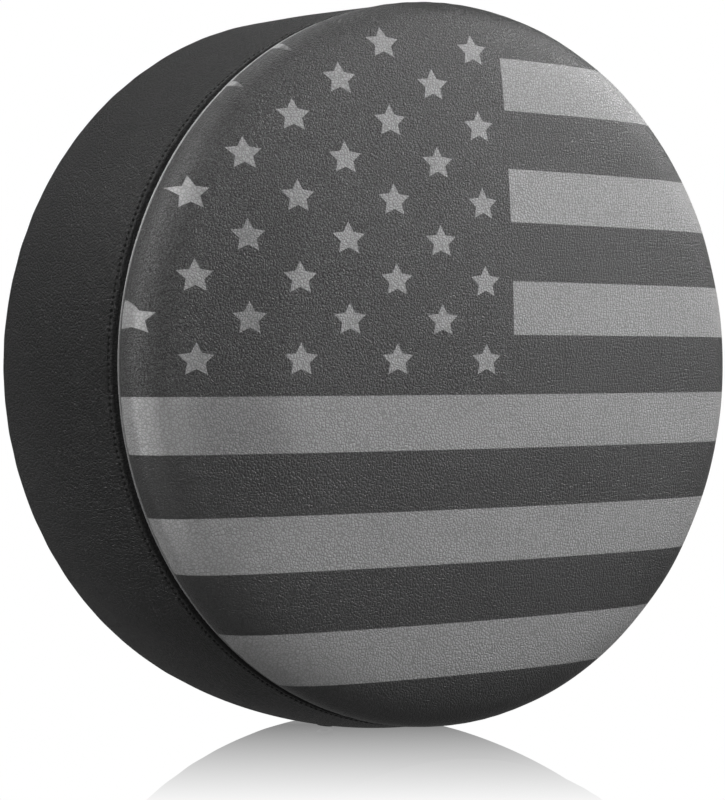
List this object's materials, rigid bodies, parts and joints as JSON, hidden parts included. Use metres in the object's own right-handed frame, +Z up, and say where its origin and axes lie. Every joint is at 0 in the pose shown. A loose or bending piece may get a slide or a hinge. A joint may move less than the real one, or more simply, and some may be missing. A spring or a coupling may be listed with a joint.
{
  "type": "spare tire cover",
  "caption": "Round soft cover for a spare wheel: domed printed face, deep side band, gathered elastic rear hem and a buckled strap.",
  "frame": {"origin": "middle of the spare tyre that the cover is worn on: on the cover's axis, half-way through the tyre's 228.6 mm width", "axes": "+Z up, +Y along the cover's axis out of its rear opening, so the printed face looks towards -Y and the strap runs along X"},
  "size_m": [0.737, 0.317, 0.737],
  "materials": {
    "printed_leather": "satin pebbled grain with a grey printed pattern",
    "band_leather": "satin pebbled grain",
    "skirt_leather": "satin pebbled grain, gathered",
    "piping_leather": "satin",
    "piping_cord": "twisted cotton",
    "fleece_lining": "brushed fleece",
    "binding_tape": "ribbed woven tape",
    "elastic": "braided elastic",
    "webbing": "woven polypropylene webbing",
    "buckle_plastic": "moulded, fine texture",
    "eyelet_metal": "black nickel",
    "label": "blank woven label"
  },
  "bodies": {
    "cover": {"face_panel": "printed_leather", "face_lining": "fleece_lining", "rim_piping": "piping_leather", "rim_piping_core": "piping_cord", "side_band": "band_leather", "band_lining": "fleece_lining", "rear_skirt": "skirt_leather", "front_seam_binding": "binding_tape", "rear_seam_binding": "binding_tape", "band_join_tape": "binding_tape", "hem_casing": "binding_tape", "hem_elastic": "elastic", "drain_eyelet_left": "eyelet_metal", "drain_eyelet_right": "eyelet_metal", "drain_washer_left": "eyelet_metal", "drain_washer_right": "eyelet_metal", "anchor_patch_left": "band_leather", "anchor_patch_right": "band_leather", "webbing_left": "webbing", "webbing_right": "webbing", "buckle_housing": "buckle_plastic", "care_label": "label"},
    "tongue": {"buckle_tongue": "buckle_plastic", "webbing_tail": "webbing", "tail_keeper": "elastic"},
    "prong_upper": {"buckle_prong_upper": "buckle_plastic"},
    "prong_lower": {"buckle_prong_lower": "buckle_plastic"}
  },
  "joints": [
    {"name": "buckle_release", "type": "slide", "parent": "cover", "child": "tongue", "axis": [1, 0, 0], "range_m": [0, 0.03], "deforming": ["webbing_right"]},
    {"name": "prong_upper_flex", "type": "hinge", "parent": "tongue", "child": "prong_upper", "pos_m": [-0.0007, 0.1203, -0.1298], "axis": [0, 1, 0], "range_deg": [-6, 0], "stiffness_Nm_per_rad": 0.5},
    {"name": "prong_lower_flex", "type": "hinge", "parent": "tongue", "child": "prong_lower", "pos_m": [-0.0007, 0.1203, -0.1502], "axis": [0, 1, 0], "range_deg": [0, 6], "stiffness_Nm_per_rad": 0.5}
  ]
}
